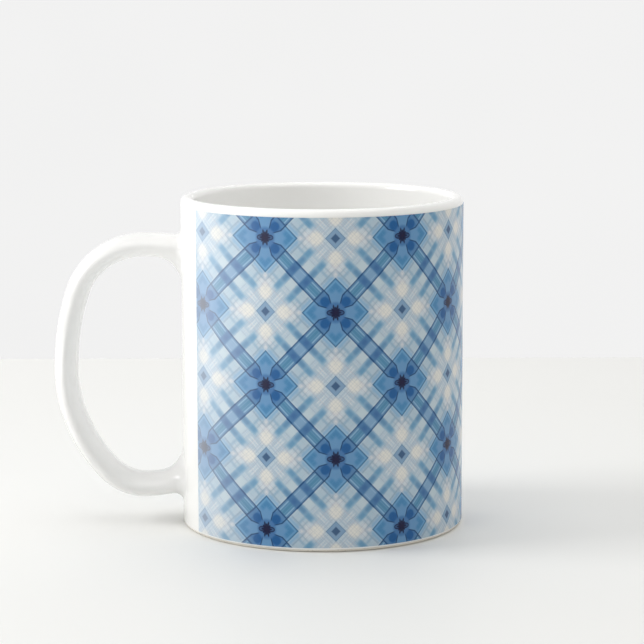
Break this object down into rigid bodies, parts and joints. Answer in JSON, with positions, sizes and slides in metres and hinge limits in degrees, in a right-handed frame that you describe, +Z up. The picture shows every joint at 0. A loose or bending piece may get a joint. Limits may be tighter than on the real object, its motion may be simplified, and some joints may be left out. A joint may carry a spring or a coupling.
{
  "type": "handled mug",
  "caption": "Straight-sided glazed ceramic mug with a round lip, a dry foot ring, a luted C-shaped loop handle and a printed blue lattice wrap.",
  "frame": {"origin": "centre of the foot ring, on the cup's axis, in the plane that the mug stands on", "axes": "+Z up along the cup's axis and out of its mouth; the handle reaches out along -X; Y runs across the handle strap"},
  "size_m": [0.1191, 0.082, 0.096],
  "materials": {
    "stoneware_clay": "dry fired white stoneware, matt",
    "joining_slip": "fired slip of the same clay, matt",
    "white_glaze": "smooth clear white gloss glaze",
    "blue_lattice_print": "blue and white kaleidoscope lattice under a gloss coat"
  },
  "bodies": {
    "root": {"cup_body": "stoneware_clay", "handle_strap": "stoneware_clay", "upper_slip_joint": "joining_slip", "lower_slip_joint": "joining_slip", "liner_glaze": "white_glaze", "outer_glaze": "white_glaze", "handle_glaze": "white_glaze", "foot_glaze": "white_glaze", "printed_wrap": "blue_lattice_print"}
  },
  "joints": []
}
